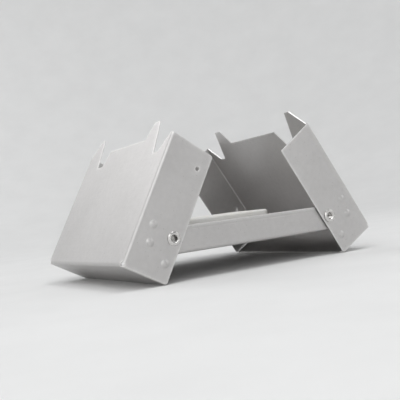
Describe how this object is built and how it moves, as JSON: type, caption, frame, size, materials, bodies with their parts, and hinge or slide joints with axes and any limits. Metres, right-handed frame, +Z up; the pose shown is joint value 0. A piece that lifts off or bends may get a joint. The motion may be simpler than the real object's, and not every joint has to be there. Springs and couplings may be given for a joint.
{
  "type": "folding solid fuel stove",
  "caption": "Pocket stove: two sheet-metal half shells swing on hollow rivets at the ends of a fuel tray, and finger tips on the shells hold a pot over a tablet of solid fuel.",
  "frame": {"origin": "middle of the footprint in the cooking position, on the surface that the stove stands on", "axes": "+X along the tray towards the right shell, +Y from the front to the back, +Z up"},
  "size_m": [0.107, 0.0782, 0.0568],
  "materials": {
    "shell_steel": "zinc-plated sheet, satin, faintly mottled",
    "tray_steel": "zinc-plated sheet, satin, a little darker than the shells",
    "rivet_metal": "bright plated",
    "solid_fuel": "pressed white hexamine, chalky"
  },
  "bodies": {
    "tray": {"fuel_tray": "tray_steel", "rivet_left_front": "rivet_metal", "rivet_left_rear": "rivet_metal", "rivet_right_front": "rivet_metal", "rivet_right_rear": "rivet_metal"},
    "left_shell": {"left_shell": "shell_steel"},
    "right_shell": {"right_shell": "shell_steel"},
    "tablet": {"fuel_tablet": "solid_fuel"}
  },
  "joints": [
    {"name": "left_shell_hinge", "type": "hinge", "parent": "tray", "child": "left_shell", "pos_m": [-0.0337, 0, 0.0149], "axis": [0, -1, 0], "range_deg": [-60, 40]},
    {"name": "right_shell_hinge", "type": "hinge", "parent": "tray", "child": "right_shell", "pos_m": [0.0337, 0, 0.0149], "axis": [0, 1, 0], "range_deg": [-60, 40]},
    {"name": "tablet_lift", "type": "slide", "parent": "tray", "child": "tablet", "axis": [0, 0, 1], "range_m": [0, 0.007]}
  ]
}
